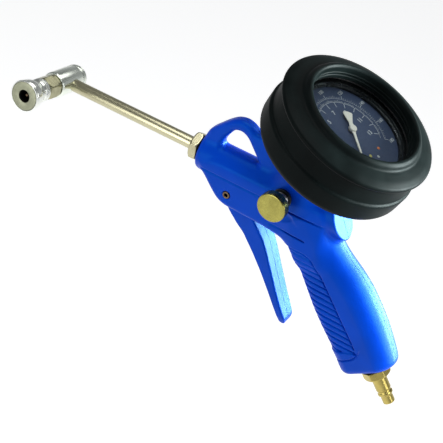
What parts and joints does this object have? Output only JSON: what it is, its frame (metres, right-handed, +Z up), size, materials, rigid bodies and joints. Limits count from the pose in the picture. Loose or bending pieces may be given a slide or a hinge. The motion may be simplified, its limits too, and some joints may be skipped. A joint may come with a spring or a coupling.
{
  "type": "portable tire inflator",
  "caption": "Pistol-shaped hand inflator with a dial gauge in a rubber boot, squeeze trigger, bleed knob, rigid side tube and a swivelling valve chuck.",
  "frame": {"origin": "the middle of the hand grip, where the hand holds the tool", "axes": "+X from the muzzle to the back of the tool along the barrel, +Z up, -Y the side of the bleed knob and of the valve chuck"},
  "size_m": [0.2879, 0.1008, 0.2045],
  "materials": {
    "moulded_blue": "moulded glass-filled plastic, satin",
    "bright_nickel": "bright nickel plate on brass",
    "satin_nickel": "satin nickel plate, slightly warm",
    "spring_steel": "drawn and turned steel",
    "brass": "turned brass",
    "black_rubber": "moulded black rubber, slight sheen",
    "seal_rubber": "black nitrile rubber",
    "black_paint": "black enamel on sheet steel",
    "clear_lens": "clear plastic window",
    "dial_paint": "slate-blue painted aluminium",
    "pointer_paint": "cream painted aluminium"
  },
  "bodies": {
    "handle": {"body": "moulded_blue", "front_insert": "brass", "tube_nut": "satin_nickel", "tube_ferrule": "brass", "nut_washer": "seal_rubber", "delivery_tube": "satin_nickel", "swivel_head": "bright_nickel", "valve_gland": "brass", "stem_seal": "seal_rubber", "valve_seat": "brass", "valve_spring": "spring_steel", "trigger_pin": "spring_steel", "inlet_insert": "brass", "inlet_seal": "seal_rubber", "inlet_plug": "brass", "bleed_bushing": "brass", "bleed_spring": "spring_steel", "gauge_boot": "black_rubber", "gauge_case": "black_paint", "gauge_bezel": "black_paint", "gauge_lens": "clear_lens", "dial_ring": "black_paint", "gauge_dial": "dial_paint", "gauge_socket": "brass", "socket_seal": "brass", "movement_frame": "brass", "movement_bridge": "brass", "bourdon_tube": "brass", "bourdon_tip": "brass"},
    "trigger": {"trigger": "moulded_blue"},
    "trigger_valve": {"valve_stem": "spring_steel", "poppet_seal": "seal_rubber"},
    "bleed": {"bleed_button": "brass", "bleed_stem": "spring_steel", "bleed_seal": "seal_rubber"},
    "sector": {"sector_gear": "brass"},
    "link": {"gauge_link": "spring_steel"},
    "needle": {"pointer": "pointer_paint", "pinion_arbor": "spring_steel"},
    "chuck": {"chuck_stem": "brass", "chuck_nose": "bright_nickel", "chuck_seal": "seal_rubber", "core_depressor": "spring_steel", "swivel_cap": "bright_nickel", "swivel_seal_inner": "seal_rubber", "swivel_seal_outer": "seal_rubber"}
  },
  "joints": [
    {"name": "trigger_squeeze", "type": "hinge", "parent": "handle", "child": "trigger", "pos_m": [-0.0935, 0, 0.044], "axis": [0, -1, 0], "range_deg": [0, 10.5], "stiffness_Nm_per_rad": 2, "springref_deg": -5.73},
    {"name": "valve_stem_push", "type": "slide", "parent": "handle", "child": "trigger_valve", "axis": [1, 0, 0], "range_m": [0, 0.0027], "deforming": ["valve_spring"]},
    {"name": "bleed_push", "type": "slide", "parent": "handle", "child": "bleed", "axis": [0, 1, 0], "range_m": [0, 0.003], "stiffness_N_per_m": 1500, "springref_m": -0.002, "deforming": ["bleed_spring"]},
    {"name": "sector_swing", "type": "hinge", "parent": "handle", "child": "sector", "pos_m": [-0.01804, 0, 0.10451], "axis": [0.3665, 0, 0.9304], "range_deg": [0, 39.14], "stiffness_Nm_per_rad": 0.02},
    {"name": "link_swing", "type": "hinge", "parent": "sector", "child": "link", "pos_m": [-0.01756, 0.009, 0.10572], "axis": [0.3665, 0, 0.9304], "range_deg": [-56.4, 0]},
    {"name": "pointer_turn", "type": "hinge", "parent": "handle", "child": "needle", "pos_m": [-0.0293, 0, 0.11959], "axis": [-0.3665, 0, -0.9304], "range_deg": [0, 274]},
    {"name": "chuck_swivel", "type": "hinge", "parent": "handle", "child": "chuck", "pos_m": [-0.2304, 0, 0.06], "axis": [0, -0.9885, 0.1513], "continuous": true}
  ],
  "couplings": [
    {"joint": "valve_stem_push", "follows": "trigger_squeeze", "m_per_rad": 0.0135},
    {"joint": "pointer_turn", "follows": "sector_swing", "ratio": 7},
    {"joint": "link_swing", "follows": "sector_swing", "ratio": -1.44}
  ]
}
